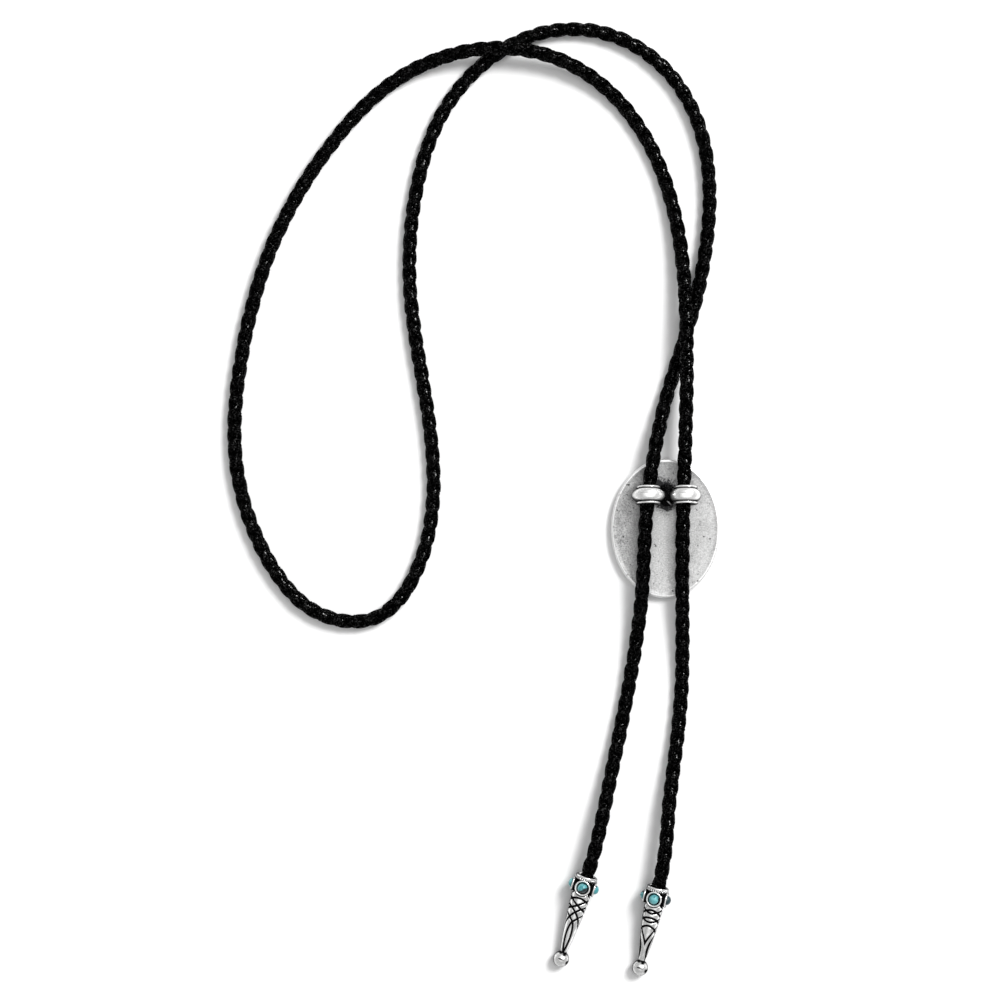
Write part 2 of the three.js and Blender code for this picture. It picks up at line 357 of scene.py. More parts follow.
# Cord, in mm, but its length in metres. A wobble is its size, its longest wave and its number of waves.
# hold says how long a strand stays over or under, square and soft how flat its section is, and inside
# and lead where the cord ends in a tip's socket and where it leaves the tip's axis.
cordValues = {
    "diameter": 4.05, "length": 1.012, "lead": 8.0, "inside": 4.7, "lowest": 2.0, "fineSteps": 12000,
    "period": 9.9, "strands": 2, "stepsPerPeriod": 16, "sides": 12, "core": 1.4, "coreSides": 6,
    "halfWidth": 1.85, "halfThickness": 0.46, "square": 0.4, "soft": 0.15, "barb": 0.2,
    "middle": 1.48, "weave": 0.22, "hold": 1.6, "clear": 0.02, "strandShift": 31,
    "angleWobble": (0.16, 130, 4), "radiusWobble": (0.06, 70, 4),
    "widthWobble": (0.14, 60, 6), "thicknessWobble": (0.16, 45, 6),
}


# The cord's centre line: points at even distances on the spline through the route and the two mouths
def centreLine():
    inTip = [np.array(tipMatrix(side) @ Vector((0, y, 0))) for side, y in
             (("left", -cordValues["inside"]), ("left", cordValues["lead"]),
              ("right", cordValues["lead"]), ("right", -cordValues["inside"]))]
    points = np.concatenate([inTip[:2], np.array(route) / mm, inTip[2:]])
    knots = along(points)
    fine = naturalSpline(knots, points, np.linspace(0, knots[-1], cordValues["fineSteps"]))
    fine[:, 2] = np.maximum(fine[:, 2], cordValues["lowest"])
    travelled = along(fine)
    count = int(round(travelled[-1] / cordValues["period"] * cordValues["stepsPerPeriod"]))
    even = np.linspace(0, travelled[-1], count)
    return np.stack([np.interp(even, travelled, fine[:, k]) for k in range(3)], axis=-1), even


# Four strands plait round the centre line: two wind one way and two the other, and each swings out
# where it passes over and in where it passes under. A strand is a flat oval band wrapped round the
# cord: a point of it is a distance along the cord, an angle round it and a radius. Each band's far
# edge stands out a little, which gives the outline its small barbs. A plain core closes the gaps. With
# the parts come each point's place on its strand: how far along, in mm, and how far across, -1 to 1.
def braid():
    values = cordValues
    centre, s = centreLine()
    tangent = np.gradient(centre, s, axis=0)
    tangent /= np.linalg.norm(tangent, axis=1)[:, None]
    side = np.cross(tangent, [0, 0, 1])
    side /= np.linalg.norm(side, axis=1)[:, None]
    basis = np.concatenate([centre, side, np.cross(side, tangent)], axis=1)
    wrapRadius = values["middle"] + values["weave"]
    slant = math.atan2(turn * wrapRadius, values["period"])
    phase = turn * s / values["period"]
    beta = np.linspace(0, turn, values["sides"], endpoint=False)[None, :]
    flatter = (np.abs(np.sin(beta)) + values["soft"]) ** values["square"]
    parts, coords = [], []
    for direction in (1, -1):
        for k in range(values["strands"]):
            angle = direction * phase + math.pi * k + wobble(s, *values["angleWobble"])
            over = np.tanh(values["hold"] * direction * np.cos(2 * phase)) / math.tanh(values["hold"])
            radius = values["middle"] + values["weave"] * over + wobble(s, *values["radiusWobble"])
            width = values["halfWidth"] * (1 + wobble(s, *values["widthWobble"]))[:, None]
            thickness = values["halfThickness"] * (1 + wobble(s, *values["thicknessWobble"]))[:, None]
            x, y = width * np.cos(beta), thickness * np.sin(beta) / flatter
            shift = -direction * x * math.sin(slant)
            angle = angle[:, None] + x * math.cos(slant) / wrapRadius
            radius = radius[:, None] + y + values["barb"] * shift
            at = np.clip(s[:, None] + shift, s[0], s[-1])
            here = np.stack([np.interp(at, s, column) for column in basis.T], axis=-1)
            rings = here[..., :3] + radius[..., None] * (
                np.sin(angle)[..., None] * here[..., 3:6] + np.cos(angle)[..., None] * here[..., 6:])
            rings[..., 2] = np.maximum(rings[..., 2], values["clear"])
            points, faces = poledSkin(rings, rings[0].mean(axis=0), rings[-1].mean(axis=0))
            parts.append((points, faces, np.zeros(len(points))))
            placeAlong = s[:, None] + values["strandShift"] * len(parts) + 0 * x
            places = np.stack([placeAlong, np.cos(beta) + 0 * x], axis=-1)
            coords.append(np.concatenate([places.reshape(-1, 2), np.zeros((2, 2))]))
    core = wire(centre[::2], values["core"], values["coreSides"])
    parts.append(core)
    coords.append(np.zeros((len(core[0]), 2)))
    return parts, np.concatenate(coords), centre, s[-1]


# Leather: scales per metre for specks and grain, and per unit of a strand's coordinates for the rest
leather = {
    "black": (0.0002, 0.0002, 0.0002), "paintedGlintColour": (0.004, 0.0039, 0.0039), "rough": 0.6, "polish": 0.2,
    "coatRough": 0.16, "coatAndPaintedGlint": 1.1, "crest": 1.1, "speckScale": 2600, "speckRange": (0.53, 0.61),
    "lineRange": (0.42, 0.58), "lineShare": 0.75, "sideRange": (0.45, 0.9), "sideLoss": 0.7,
    "creaseScale": (2.4, 1.9, 1), "fibreScale": (0.8, 6.0, 1), "grainScale": 2700,
    "creases": 0.8, "fibres": 0.35, "grain": 0.75, "relief": 0.0005,
}


# Black leather: its coat shines only in small specks, on the crests of the strands and along their
# fibres, and less where the cord turns down to the table. The same specks lighten the base colour as
# painted glints, a painted highlight strongest on the upper crests. Creases, fibres and a fine grain
# break it up.
def leatherFinish():
    finish = Finish("blackLeather", Specular_IOR_Level=0.0, Coat_Roughness=leather["coatRough"])
    strand = finish.node("ShaderNodeUVMap", {"uv_map": "strand"}, {})
    across = finish.node("ShaderNodeSeparateXYZ", {}, {0: strand}, 1)
    creases = finish.noise(1.0, 2.0, 0.5, 0.4, finish.stretched(leather["creaseScale"], strand))
    fibres = finish.noise(1.0, 3.0, 0.6, 0.2, finish.stretched(leather["fibreScale"], strand))
    grain = finish.noise(leather["grainScale"], 2.0, 0.6)
    crest = (leather["crest"] - across * across).clip()
    side = 1 - finish.between(finish.attribute("steep"), *leather["sideRange"]) * leather["sideLoss"]
    lines = finish.between(fibres, *leather["lineRange"]) * leather["lineShare"] + (1 - leather["lineShare"])
    specks = finish.between(finish.noise(leather["speckScale"], 2.0, 0.6), *leather["speckRange"])
    coatAndPaintedGlint = (crest * side * lines * specks * leather["coatAndPaintedGlint"]).clip()
    # Painted glints: the base colour turns lighter where the coat shines.
    color = finish.mix(coatAndPaintedGlint, leather["black"], leather["paintedGlintColour"])
    height = creases * leather["creases"] + fibres * leather["fibres"] + grain * leather["grain"]
    return finish.feed(Base_Color=color, Coat_Weight=coatAndPaintedGlint,
                       Roughness=leather["rough"] - coatAndPaintedGlint * leather["polish"],
                       Normal=finish.bump(height, leather["relief"]))


parts, strandPlaces, cordCentre, cordLength = braid()
cord = makePiece("braided_cord", parts, leatherFinish())
layer = cord.data.uv_layers.new(name="strand")
corners = np.empty(len(cord.data.loops), np.int32)
cord.data.loops.foreach_get("vertex_index", corners)
layer.data.foreach_set("uv", strandPlaces[corners].astype(np.float32).ravel())
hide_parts("cord")
(cordCentre[::3] * mm).tolist()
print("cord", round(float(cordLength), 1), "mm,", len(cord.data.polygons), "faces")


# What all the silver has in common: scales per metre, with the pits' as a share of the grain's, the
# ranges of noise that show as cloud and pits, the range of steepness that turns grey as painted shade,
# and the black that stands for blackening and for painted shade
silver = {
    "tarnished": (0.03, 0.03, 0.031), "blackAndPaintedShade": (0.003, 0.003, 0.0032),
    "cloudScale": 160, "cloudRange": (0.5, 0.75), "pitShare": 0.4, "pitRange": (0.66, 0.76), "pits": 0.5,
    "scratchScale": (900, 5200, 900), "scratches": 0.4, "paintedShadeSteepRange": (0.35, 0.9),
    "uneven": 0.12, "blackRough": 0.3, "blackMatt": 0.97,
}


# Silver: bright where it faces up and greyer where it is steep, a painted shade, and black where dark is
# 1, with fine scratches, pits and a soft cloud of tarnish. The black is blackening on the tips' band and
# engraving and on the solder, painted shade in the rings' grooves and bores, the tips' necks and sockets
# and, with the solder, round the rings' feet, and painted reflections and shade on the balls. The values
# are how rough and how metallic it is, how strong the cloud, the speckle and the painted shade of the
# steep parts are, and how fine the grain is and how deep.
def silverFinish(name, color, values, extraDark=None):
    finish = Finish(name, Specular_IOR_Level=0.0)
    cloud = finish.noise(silver["cloudScale"], 4.0, 0.6)
    grain = finish.noise(values["grain"], 3.0, 0.65)
    pits = finish.noise(values["grain"] * silver["pitShare"], 2.0, 0.5)
    scratches = finish.noise(1.0, 3.0, 0.5, 0.2, finish.stretched(silver["scratchScale"]))
    black = finish.attribute("dark")
    speckle = (grain - 0.5) + finish.between(pits, *silver["pitRange"]) * silver["pits"]
    dark = finish.between(cloud, *silver["cloudRange"]) * values["cloud"] + speckle * values["speckle"]
    # Painted shade: the steep parts turn grey.
    dark = dark + finish.between(finish.attribute("steep"), *silver["paintedShadeSteepRange"]) * values["steep"]
    if extraDark is not None:
        dark = dark + extraDark(finish)
    shade = finish.mix(dark.clip(), color, silver["tarnished"])
    # Black where dark is 1: blackening in some parts, painted shade and painted reflections in others.
    shade = finish.mix(black, shade, silver["blackAndPaintedShade"])
    roughness = values["rough"] + (grain - 0.5) * silver["uneven"] + black * silver["blackRough"]
    metallic = (1 - black * silver["blackMatt"]) * values["metal"]
    height = grain * (1 - silver["scratches"]) + scratches * silver["scratches"]
    return finish.feed(Base_Color=shade, Roughness=roughness.clip(), Metallic=metallic,
                       Normal=finish.bump(height, values["relief"]))


# Slide, in mm and degrees: an oval plate whose edge is rounded and bright, and two cord rings with a fat
# bulge between thin lips. From ringFrom to ringTo a ring runs along its bore, flatTop and pointed shape
# its bulge, and the painted reflection streak is its strength, half width, half angle and angle from the
# top.
slide = {
    "width": 32.6, "height": 41.7, "rows": 110, "cols": 240,
    "ringX": (-5.34, 5.75), "bulges": (5.1, 4.75), "ringY": 10.2, "ringZ": 7.0, "lean": 8,
    "lip": 3.72, "tube": 3.2, "bore": 2.7, "ringFrom": -2.95, "ringTo": 2.4, "ringCols": 128,
    "bulgeMiddle": -0.3, "bulgeHalf": 1.88, "bulgeRows": 29, "flatTop": 0.5, "pointed": 1.8,
    "groove": 0.03, "paintedReflectionStreak": (0.8, 0.14, 0.33, -0.25), "paintedReflectionAbove": 4.2,
}

# The plate's section, from the middle of its front round the edge to the middle of its back: share of
# the radius, how far in from there in mm, height in mm, dark
plateSection = (
    (0, 0, 0, 0.3), (0.5, 0, 0, 0.3), (1, 2.2, 0, 0.2), (1, 1.2, 0.18, 0), (1, 0.45, 0.65, 0),
    (1, 0, 1.4, 0), (1, 0, 2.05, 0), (1, 0.06, 2.38, 0), (1, 0.2, 2.54, 0), (1, 0.45, 2.59, 0),
    (1, 0.75, 2.58, 0), (1, 1.1, 2.52, 0), (1, 1.9, 2.47, 0), (0.72, 0, 2.42, 0.02),
    (0.35, 0, 2.32, 0.02), (0, 0, 2.3, 0.02),
)


# Plate: the section turned about Z, with shallow dents on the back, stretched to an oval
def plate():
    edge = slide["width"] / 2
    rows = [(share * edge - inset, height, dark) for share, inset, height, dark in plateSection]
    points, faces, shades = turned(roundProfile(rows, slide["rows"]), slide["cols"])
    x, y = points[:, 0], points[:, 1]
    dents = 0.03 * np.sin(0.45 * x + 1) * np.cos(0.38 * y) + 0.02 * np.sin(0.9 * x - 0.7 * y)
    points[:, 2] += smoothStep(points[:, 2], 2.0, 2.3) * dents
    points[:, 1] *= slide["height"] / slide["width"]
    return points, faces, shades


# Tarnish on the plate, in patches: x and y of the middle and half sizes in mm, how soft the border is
# and how strong the patch is
tarnish = {
    "rim": (0.0, 0.0, 15.7, 20.08, 0.01, 1.0), "rimRagged": 0.015, "all": 0.46,
    "scale": 800, "ragged": 0.007,
    "insideRim": ((-17.0, -3.0, 13.0, 26.0, 0.7, 0.18), (1.0, 19.5, 9.0, 5.5, 0.6, 0.16)),
    "atRings": ((0.0, 10.2, 2.7, 4.2, 0.5, 0.5), (-2.4, 13.2, 1.5, 1.8, 0.6, 0.5),
                (0.6, 6.7, 2.4, 1.2, 0.7, 0.3), (0.0, 10.0, 11.0, 4.2, 0.3, 0.14)),
}


# Grey tarnish inside the rim, which stays bright. The plate is also darker towards the left and the top,
# and darkest round the rings' feet and between them, where patina gathers
def plateTarnish(finish):
    x, y = (finish.node("ShaderNodeSeparateXYZ", {}, {0: finish.place}, k) for k in (0, 1))
    ragged = (finish.noise(tarnish["scale"], 6.0, 0.75) - 0.5) * tarnish["ragged"]

    # The strength inside an oval and 0 outside it, with a ragged border
    def patch(centreX, centreY, halfX, halfY, reach, strength, rough=ragged):
        dx = (x - centreX * mm + rough) / (halfX * mm)
        dy = (y - centreY * mm + rough) / (halfY * mm)
        return (1 - finish.between((dx * dx + dy * dy) ** 0.5, 1 - reach, 1 + reach)) * strength

    insideRim = sum((patch(*row) for row in tarnish["insideRim"]), tarnish["all"])
    atRings = sum(patch(*row) for row in tarnish["atRings"])
    return patch(*tarnish["rim"], ragged * tarnish["rimRagged"]) * insideRim + atRings


# Ring: a closed section of (radius, distance along the bore, dark) rows turned about Y. The bulge swells
# out of the tube as a power of the cosine, with a flat top and more pointed sides, and has a grey streak,
# a painted reflection. The dark is painted shade, in the grooves beside the bulge, towards the bulge's
# edges and inside the bore.
def cordRing(x, bulge):
    lip, tube, bore, groove = slide["lip"], slide["tube"], slide["bore"], slide["groove"]
    low, high = slide["ringFrom"], slide["ringTo"]
    middle, half = slide["bulgeMiddle"], slide["bulgeHalf"]
    theta = np.linspace(-math.pi / 2, math.pi / 2, slide["bulgeRows"])[1:-1]
    # The bulge darkens towards its edges: painted shade.
    swell = [(tube + (bulge - tube) * math.cos(a) ** slide["flatTop"], middle + half * math.sin(a),
              abs(math.sin(a)) ** 6) for a in theta]

    # A lip's rows from the groove beside the bulge to the lip's end, which lies in the direction of sign
    def lipRows(end, sign):
        # The rows in the groove beside the bulge are dark: painted shade.
        return [(tube + 0.03, end - sign * 0.75, 1), (tube + 0.3, end - sign * 0.62, 1),
                (lip - 0.08, end - sign * 0.52, 0), (lip, end - sign * 0.3, 0),
                (lip - 0.1, end - sign * 0.06, 0), (lip - 0.3, end, 0.1)]

    before = lipRows(low, -1)[::-1] + [(tube, middle - half - groove, 1)]
    after = [(tube, middle + half + groove, 1)] + lipRows(high, 1)
    # The bore is dark inside: painted shade.
    inner = [(bore + 0.15, high, 0.4), (bore, high - 0.2, 0.8), (bore, 0, 1),
             (bore, low + 0.2, 0.8), (bore + 0.15, low, 0.4)]
    rows = np.array(before + swell + after + inner)
    cols = slide["ringCols"]
    angle = np.linspace(0, turn, cols, endpoint=False)[None, :]
    dented = 1 + 0.006 * np.sin(3 * angle + x) + 0.004 * np.sin(7 * angle)
    radius, y = rows[:, :1] * dented, rows[:, 1:2] + 0 * angle
    swollen = slice(len(before), len(before) + len(swell))
    share = (rows[swollen, :1] - tube) / (bulge - tube)
    power = 1 + slide["pointed"] * np.sin(angle) ** 4
    radius[swollen] = (tube + (bulge - tube) * share ** power) * dented
    points = np.stack([radius * np.sin(angle), y, radius * np.cos(angle)], axis=-1).reshape(-1, 3)
    # A grey streak across the bulge's top: a painted reflection.
    strength, halfWidth, halfAngle, streakAt = slide["paintedReflectionStreak"]
    fromPaintedReflection = angle - streakAt - turn * (angle > math.pi)
    paintedReflectionStreak = np.exp(-(y / halfWidth) ** 2 - (fromPaintedReflection / halfAngle) ** 4) * (radius > slide["paintedReflectionAbove"])
    shades = np.clip(rows[:, 2:] + strength * paintedReflectionStreak, 0, 1).ravel()
    place = (Matrix.Translation((x, slide["ringY"], slide["ringZ"]))
             @ Matrix.Rotation(-math.radians(slide["lean"]), 4, "X"))
    return moved(place, (points, [gridFaces(len(rows), cols, closeRows=True)], shades))


# Solder, in mm: mounds of x, y from the rings' middle, half sizes, lowest and highest point and how lumpy
# they are, and a short bright wire
solder = {
    "rows": 34, "cols": 56, "glints": 0.2,
    "web": ((0.4, 0, 1.2, 3.1, 1.9, 7.0, 0.1), (0.1, 1.9, 1.8, 1.1, 1.9, 6.9, 0.14),
            (0.3, -2.3, 1.7, 1.2, 1.9, 6.0, 0.12)),
    # The mound round each ring's foot is solder and also a painted contact shadow round the ring.
    "foot": (0, 2.9, 3.0, 1.9, 3.0, 0.08),
    "wire": ((0.1, 8.5, 6.1), (0.7, 7.9, 6.3), (1.2, 7.5, 6.1), (1.6, 7.1, 5.6)), "wireRadius": 0.24,
}


# Mound: an ellipsoid whose radius wanders, dark all over but for small painted glints
def mound(x, fromMiddle, halfX, halfY, low, high, lumps):
    y = slide["ringY"] + fromMiddle
    u = np.linspace(0, math.pi, solder["rows"])[1:-1][:, None]
    v = np.linspace(0, turn, solder["cols"], endpoint=False)[None, :]
    wander = 1 + lumps * (np.sin(5 * v + 3 * u) * np.sin(4 * u) + 0.6 * np.sin(9 * v - 5 * u + 1) * np.sin(u))
    middle, half = (low + high) / 2, (high - low) / 2
    rings = np.stack([x + halfX * wander * np.sin(u) * np.cos(v), y + halfY * wander * np.sin(u) * np.sin(v),
                      middle - half * wander * np.cos(u) + 0 * v], axis=-1)
    points, faces = poledSkin(rings, [x, y, low], [x, y, high])
    # Painted glints: small bright spots in the black.
    glints = solder["glints"] * np.maximum(np.sin(9 * v + 7 * u) * np.sin(11 * u - 3 * v), 0) ** 5
    return points, faces, np.concatenate([(1 - glints).ravel(), [1, 1]])


plateSilver = silverFinish("tarnishedPlate", (0.96, 0.96, 0.955), {
    "rough": 0.42, "metal": 1.0, "cloud": 0.1, "speckle": 0.9, "steep": 0.3,
    "grain": 2600, "relief": 0.00006}, plateTarnish)
ringSilver = silverFinish("polishedRings", (0.97, 0.97, 0.965), {
    "rough": 0.24, "metal": 0.72, "cloud": 0.06, "speckle": 0.12, "steep": 1.1,
    "grain": 900, "relief": 0.00002})
solderSilver = silverFinish("blackenedSolder", (0.55, 0.55, 0.55), {
    "rough": 0.4, "metal": 0.9, "cloud": 0.5, "speckle": 0.6, "steep": 0.3,
    "grain": 1500, "relief": 0.0002})

platePiece = makePiece("slide_plate", [plate()], plateSilver)
ringPieces = [makePiece(f"cord_ring_{side}", [cordRing(x, bulge)], ringSilver)
              for side, x, bulge in zip(("left", "right"), slide["ringX"], slide["bulges"])]
solderPiece = makePiece("solder_web", [
    *(mound(*row) for row in solder["web"]), wire(solder["wire"], solder["wireRadius"]),
    # A black mound round each ring's foot: solder, and a painted contact shadow.
    *(mound(x, *solder["foot"]) for x in slide["ringX"]),
], solderSilver)
for piece in (platePiece, *ringPieces, solderPiece):
    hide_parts("slide")
print("slide done")


# Engraving, in mm: its lines' width, softness and depth, the radius below which they get shallower, and
# its curves. A curve has its start from the mouth, its rise and its power. The loop also has its
# steepness, and the leaf its start, its length, its taper and its roundness.
engraving = {
    "width": 0.37, "soft": 0.06, "depth": 0.17, "fullFrom": 1.6, "rows": 260, "cols": 200,
    "wave": (6.95, 0.6), "loop": (6.55, 3.75, 0.85, 1.5725), "vee": (8.95, 8.15, 2.1),
    "arch": (11.45, 2.5, 1.7), "leaf": (13.8, 9.5, 0.85, 0.9),
}


# How near each point (distance from the mouth s, angle from the pattern's front) is to an engraved line.
# Each line is a curve s = f(angle); the distance to it is the gap along s shortened by its slope.
def engravedDistance(s, angle, radius, leafWidth, leafLine):
    def line(level, slope):
        return np.abs(s - level) / np.sqrt(1 + (slope / radius) ** 2)

    def away(front):
        return np.abs((angle - front + math.pi) % turn - math.pi)

    # A curve that climbs as a power of the share of the span
    def climb(off, span, start, rise, power):
        share = off / span
        return line(start + rise * share ** power, rise * power / span * share ** (power - 1))

    start, swing = engraving["wave"]
    nearest = line(start + swing * np.cos(2 * angle), -2 * swing * np.sin(2 * angle))
    for front in (0, math.pi):
        off = away(front)
        share = np.maximum((1 - np.cos(off)) / 2, 1e-4)
        start, rise, power, steepness = engraving["loop"]
        loop = line(start + rise * share ** power, steepness * share ** (power - 1) * np.sin(off))
        vee = climb(off, math.pi, *engraving["vee"])
        arch = climb(off, math.pi / 2, *engraving["arch"])
        arch = np.where(off < math.pi / 2 + 0.05, arch, np.inf)
        nearest = np.minimum.reduce([nearest, loop, vee, arch])
    start, length, taper, roundness = engraving["leaf"]
    t = np.clip((s - start) / length, 0, 1)
    width = leafWidth * np.sin(math.pi * t ** taper) ** roundness
    inLeaf = (s > start - 0.1) & (s < start + length)
    for front in (math.pi / 2, -math.pi / 2):
        leaf = np.abs(away(front) * radius - width) * leafLine
        nearest = np.minimum(nearest, np.where(inLeaf, leaf, np.inf))
    return nearest


# Casting, in mm from the mouth: where the body starts and ends, its (distance, radius) rows, the radius
# of the neck and of the bezels' clearing in the black band, and how deep the band is
casting = {
    "bodyFrom": 0.6, "bodyTo": 23.2, "neck": 1.1, "ballRows": 56,
    "body": ((0, 2.78), (5.5, 2.88), (7.6, 2.82), (9.4, 2.73), (12, 2.5), (15.5, 2.15), (19, 1.72),
             (21.6, 1.34), (23, 1.12)),
    "clearing": 2.78, "bandRadius": 2.7, "bandDepth": 0.3,
    "stretchFrom": 14, "neckAt": 23.3, "neckShade": 1.1, "neckHalf": 0.36, "mouthRadius": 2.62,
}

# Painted dark reflections and shade on the end ball: x and y from its middle and half sizes in mm, strength
paintedBallReflectionsAndShade = (
    (-0.1, 0.42, 0.7, 0.24, 1.5), (2.1, -0.3, 0.45, 0.7, 1.3), (0.7, 1.7, 0.7, 0.4, 1.1),
    (-2.2, -0.8, 0.4, 1.0, 0.5), (-0.6, 1.85, 0.45, 0.22, 0.8), (0.5, -1.6, 1.0, 0.25, 0.4),
    (1.0, 0.2, 0.5, 0.16, 0.9), (-1.3, -1.2, 1.3, 1.3, 0.25), (1.6, -1.2, 1.0, 1.0, 0.25),
)


# The tip's skin in its own axes: rings round -Y, angle 0 facing +Z. It runs from the bottom of the socket
# over the mouth, the blackened band and the engraved body to the end ball.
def tipSkin(side):
    place = tip[side]
    socket, depth = tip["socketRadius"], tip["socketDepth"]
    ballR, length = tip["ballRadius"], tip["length"]
    inside = ((depth, socket * 0.6), (depth, socket), (depth * 0.5, socket), (0.9, socket),
              (0.3, socket + 0.03), (0.12, socket + 0.2), (0.3, casting["mouthRadius"]))
    bodyS = np.linspace(casting["bodyFrom"], casting["bodyTo"], engraving["rows"])
    bodyR = np.interp(bodyS, *zip(*casting["body"]))
    ballAngle = np.linspace(math.asin(casting["neck"] / ballR), math.pi, casting["ballRows"])[:-1]
    insideS, insideR = zip(*inside)
    s = np.concatenate([insideS, bodyS, length - ballR * np.cos(ballAngle)])[:, None]
    r = np.concatenate([insideR, bodyR, ballR * np.sin(ballAngle)])[:, None]
    angle = np.linspace(0, turn, engraving["cols"], endpoint=False)[None, :]
    onBody = np.zeros_like(s)
    onBody[len(inside):len(inside) + len(bodyS)] = 1
    onBall = (s > casting["bodyTo"]).astype(float)

    # The band ends in an arc round each bezel, and the engraving starts below that
    spacing = turn / tip["stones"]
    across = casting["bandRadius"] * ((angle + spacing / 2) % spacing - spacing / 2)
    scallop = tip["stoneAlong"] + np.sqrt(np.maximum(casting["clearing"] ** 2 - across ** 2, 0))
    band = onBody * (1 - smoothStep(s, scallop - 0.1, scallop + 0.06))
    distance = engravedDistance(s, angle - math.radians(place["engraved"]), np.maximum(r, 0.8),
                                place["leaf"], place["leafLine"])
    width, soft = engraving["width"], engraving["soft"]
    groove = 1 - smoothStep(distance, width - soft, width + soft)
    groove = groove * onBody * smoothStep(s, scallop + 0.1, scallop + 0.3)
    radius = r - band * casting["bandDepth"]
    radius = radius - groove * engraving["depth"] * np.minimum(1, r / engraving["fullFrom"])
    radius = radius + onBody * (1 - band) * 0.015 * np.sin(5 * angle + s) * np.sin(1.7 * s)
    radius = radius * (1 + onBall * 0.012 * np.sin(3 * angle + 1.5 * s) * np.sin(2.3 * s + 1))
    onward = length * (place["stretch"] - 1)
    stretched = s + onward * smoothStep(s, casting["stretchFrom"], casting["neckAt"])
    rings = np.stack([radius * np.sin(angle), -stretched + 0 * angle, radius * np.cos(angle)], axis=-1)

    # Dark in the blackened band and grooves, painted shade in the neck and the socket, counted back from the
    # ball, and painted reflections and shade on the ball
    fromBall = stretched - onward
    neck = casting["neckShade"] * np.exp(-((fromBall - casting["neckAt"]) / casting["neckHalf"]) ** 2)
    # Painted shade inside the socket.
    inSocket = (fromBall < depth + 0.01) * (onBody < 0.5) * (fromBall > 0.4)
    shades = np.clip(np.maximum(np.maximum(band, groove), neck + inSocket), 0, 1)
    # Painted dark reflections and shade on the end ball.
    for x, y, halfX, halfY, strength in paintedBallReflectionsAndShade:
        awayX, awayY = rings[..., 0] - x, rings[..., 1] + length + onward - y
        mark = np.exp(-(awayX / halfX) ** 2 - (awayY / halfY) ** 2)
        shades = np.clip(shades + strength * mark * onBall * (rings[..., 2] > 0), 0, 1)
    points, faces = poledSkin(rings, [0, -depth, 0], [0, -length - ballR - onward, 0])
    return points, faces, np.concatenate([shades.ravel(), [1, 0]])


# Rims round the mouth, a smooth lip and a twisted wire: radius, radius of the section and distance from
# the mouth in mm, number of twists and how deep they are
rimRows = ((2.96, 0.36, 0.0, 0, 0.0), (3.04, 0.27, 0.56, 30, 0.5))
rimSteps, rimSides = 288, 12


# Each rim is a ring whose section is an oval that turns as it goes round, dark in its creases
def rims():
    angle = np.linspace(0, turn, rimSteps, endpoint=False)[:, None]
    beta = np.linspace(0, turn, rimSides, endpoint=False)[None, :]
    faces = [gridFaces(rimSteps, rimSides, closeRows=True)]
    rounds = []
    for major, minor, s, twist, depth in rimRows:
        lobes = np.cos(twist * angle + 2 * beta)
        section = minor * (1 + depth * lobes)
        radius = major + section * np.cos(beta)
        y = -s + section * np.sin(beta)
        points = np.stack([radius * np.sin(angle), y, radius * np.cos(angle)], axis=-1)
        crease = np.clip(depth * (1.2 - 2.4 * lobes), 0, 1)
        rounds.append((points.reshape(-1, 3), faces, crease.ravel()))
    return rounds


# The matrix that takes a shape standing on Z to stone number i, so that Z points out from the axis
def stoneMatrix(i):
    return Matrix.Rotation(i * turn / tip["stones"], 4, "Y") @ Matrix.Translation((0, -tip["stoneAlong"], 0))


# A bezel's section: radius, distance from the tip's axis, dark
bezelSection = (
    (0, 1.9, 1), (1.9, 1.95, 1), (2.12, 2.3, 1), (2.15, 2.8, 1), (2.22, 3.08, 1), (2.32, 3.2, 0),
    (2.34, 3.36, 0), (2.24, 3.5, 0), (2.07, 3.54, 0), (1.91, 3.47, 0), (1.8, 3.32, 0.1),
    (1.74, 3.14, 0.95), (1.68, 3.0, 1), (1.2, 2.97, 1), (0, 2.97, 1),
)
bezelRows, bezelCols = 56, 60

# Trim in the black band, in mm and radians: a wire's radius, its distance from the axis, its two ends
# from the mouth, how far it starts from the middle between two bezels and how it bends, and a bead's
# radius and place
trim = {
    "wireRadius": 0.12, "wireAt": 2.55, "wireFrom": 1.2, "wireTo": 2.5, "wireStart": 0.35, "wireBend": 0.5,
    "bend": 1.7, "beadRadius": 0.31, "beadAt": 2.8, "beadAlong": 0.98,
}


# Bezel: a cup with a thick bright edge round a black gap
def bezel():
    return turned(roundProfile(bezelSection, bezelRows), bezelCols)


# A bent wire between each two bezels and a bead above each bezel
def bandTrim():
    pieces = []
    s = np.linspace(trim["wireFrom"], trim["wireTo"], 12)
    bent = trim["wireStart"] - trim["wireBend"] * (s - s[0]) ** 2 / trim["bend"]
    t = np.linspace(0, math.pi, 11)
    size, at = trim["beadRadius"], trim["beadAt"]
    points, *rest = turned(np.stack([size * np.sin(t), -size * np.cos(t), 0 * t], axis=-1), 16)
    for i in range(tip["stones"]):
        front = i * turn / tip["stones"]
        angle = (i + 0.5) * turn / tip["stones"] + bent
        path = np.stack([trim["wireAt"] * np.sin(angle), -s, trim["wireAt"] * np.cos(angle)], axis=-1)
        pieces.append(wire(path, trim["wireRadius"]))
        pieces.append((points + [at * math.sin(front), -trim["beadAlong"], at * math.cos(front)], *rest))
    return pieces


# Dark matrix on each stone: its direction in degrees and how far across it begins, in radii
stoneMarks = {
    "left": ((-48, 0.1), (100, 0.8), (0, 2), (60, 0.9)),
    "right": ((20, 0.95), (130, -0.45), (0, 2), (95, 0.35)),
}

